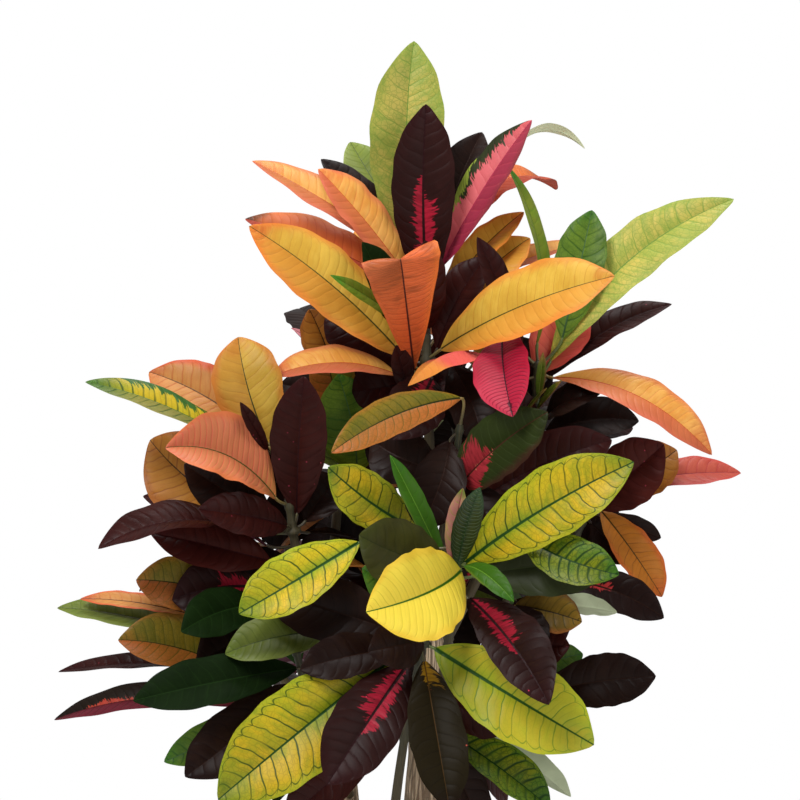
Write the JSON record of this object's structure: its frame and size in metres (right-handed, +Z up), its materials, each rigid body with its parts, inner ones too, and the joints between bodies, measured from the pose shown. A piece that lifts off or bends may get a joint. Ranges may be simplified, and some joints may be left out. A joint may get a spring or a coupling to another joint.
{
  "type": "potted croton",
  "caption": "Bushy croton with broad multicoloured leaves on slim stems from woody trunks, rooted in soil in a plain round nursery pot.",
  "frame": {"origin": "centre of the pot's underside, on the surface that the pot stands on", "axes": "+Z up, -Y towards the viewer of the picture, +X to the viewer's right"},
  "size_m": [0.6214, 0.5512, 1.0152],
  "materials": {
    "pot_plastic": "matte",
    "soil": "rough",
    "bark": "rough",
    "leaf_warm": "satin",
    "leaf_yellow": "satin",
    "leaf_dark": "glossy"
  },
  "bodies": {
    "root": {"pot": "pot_plastic", "soil": "soil", "trunk_centre": "bark", "trunk_left": "bark", "trunk_back": "bark", "shoot_top": "leaf_warm", "shoot_upper_right": "leaf_warm", "shoot_mid": "leaf_dark", "shoot_left": "leaf_warm", "shoot_left_back": "leaf_dark", "shoot_centre": "leaf_yellow", "shoot_bottom": "leaf_yellow", "shoot_left_low": "leaf_dark", "shoot_right_low": "leaf_dark", "shoot_right_mid": "leaf_warm", "shoot_front_left": "leaf_dark", "shoot_back_top": "leaf_warm", "shoot_back_left": "leaf_dark", "shoot_back_right": "leaf_warm", "shoot_back_low": "leaf_dark", "shoot_back_centre": "leaf_dark"}
  },
  "joints": []
}
